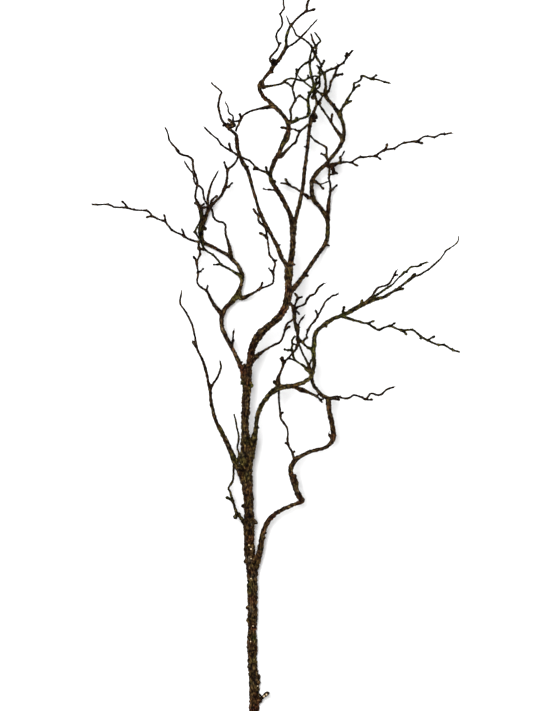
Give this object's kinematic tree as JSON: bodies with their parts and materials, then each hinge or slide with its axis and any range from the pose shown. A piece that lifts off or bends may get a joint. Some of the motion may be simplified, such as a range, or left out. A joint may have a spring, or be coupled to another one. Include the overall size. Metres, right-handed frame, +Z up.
{
  "type": "curly willow branch",
  "caption": "Bare, dried branch of curly willow, lying down: a cut stem that forks into winding boughs and curling twigs, for a vase or dried arrangement.",
  "frame": {"origin": "on the surface that the branch lies on, below the middle of its bounding box", "axes": "+Y runs along the branch from the cut end of the stem to the tips of the crown, +Z points up from the surface, and +X points to the side of the right-hand boughs as seen from above"},
  "size_m": [0.6077, 1.2007, 0.2566],
  "materials": {
    "bark": "dry, matt, knobbly bark, dark brown with olive green and red-brown patches"
  },
  "bodies": {
    "root": {"branch": "bark"}
  },
  "joints": []
}
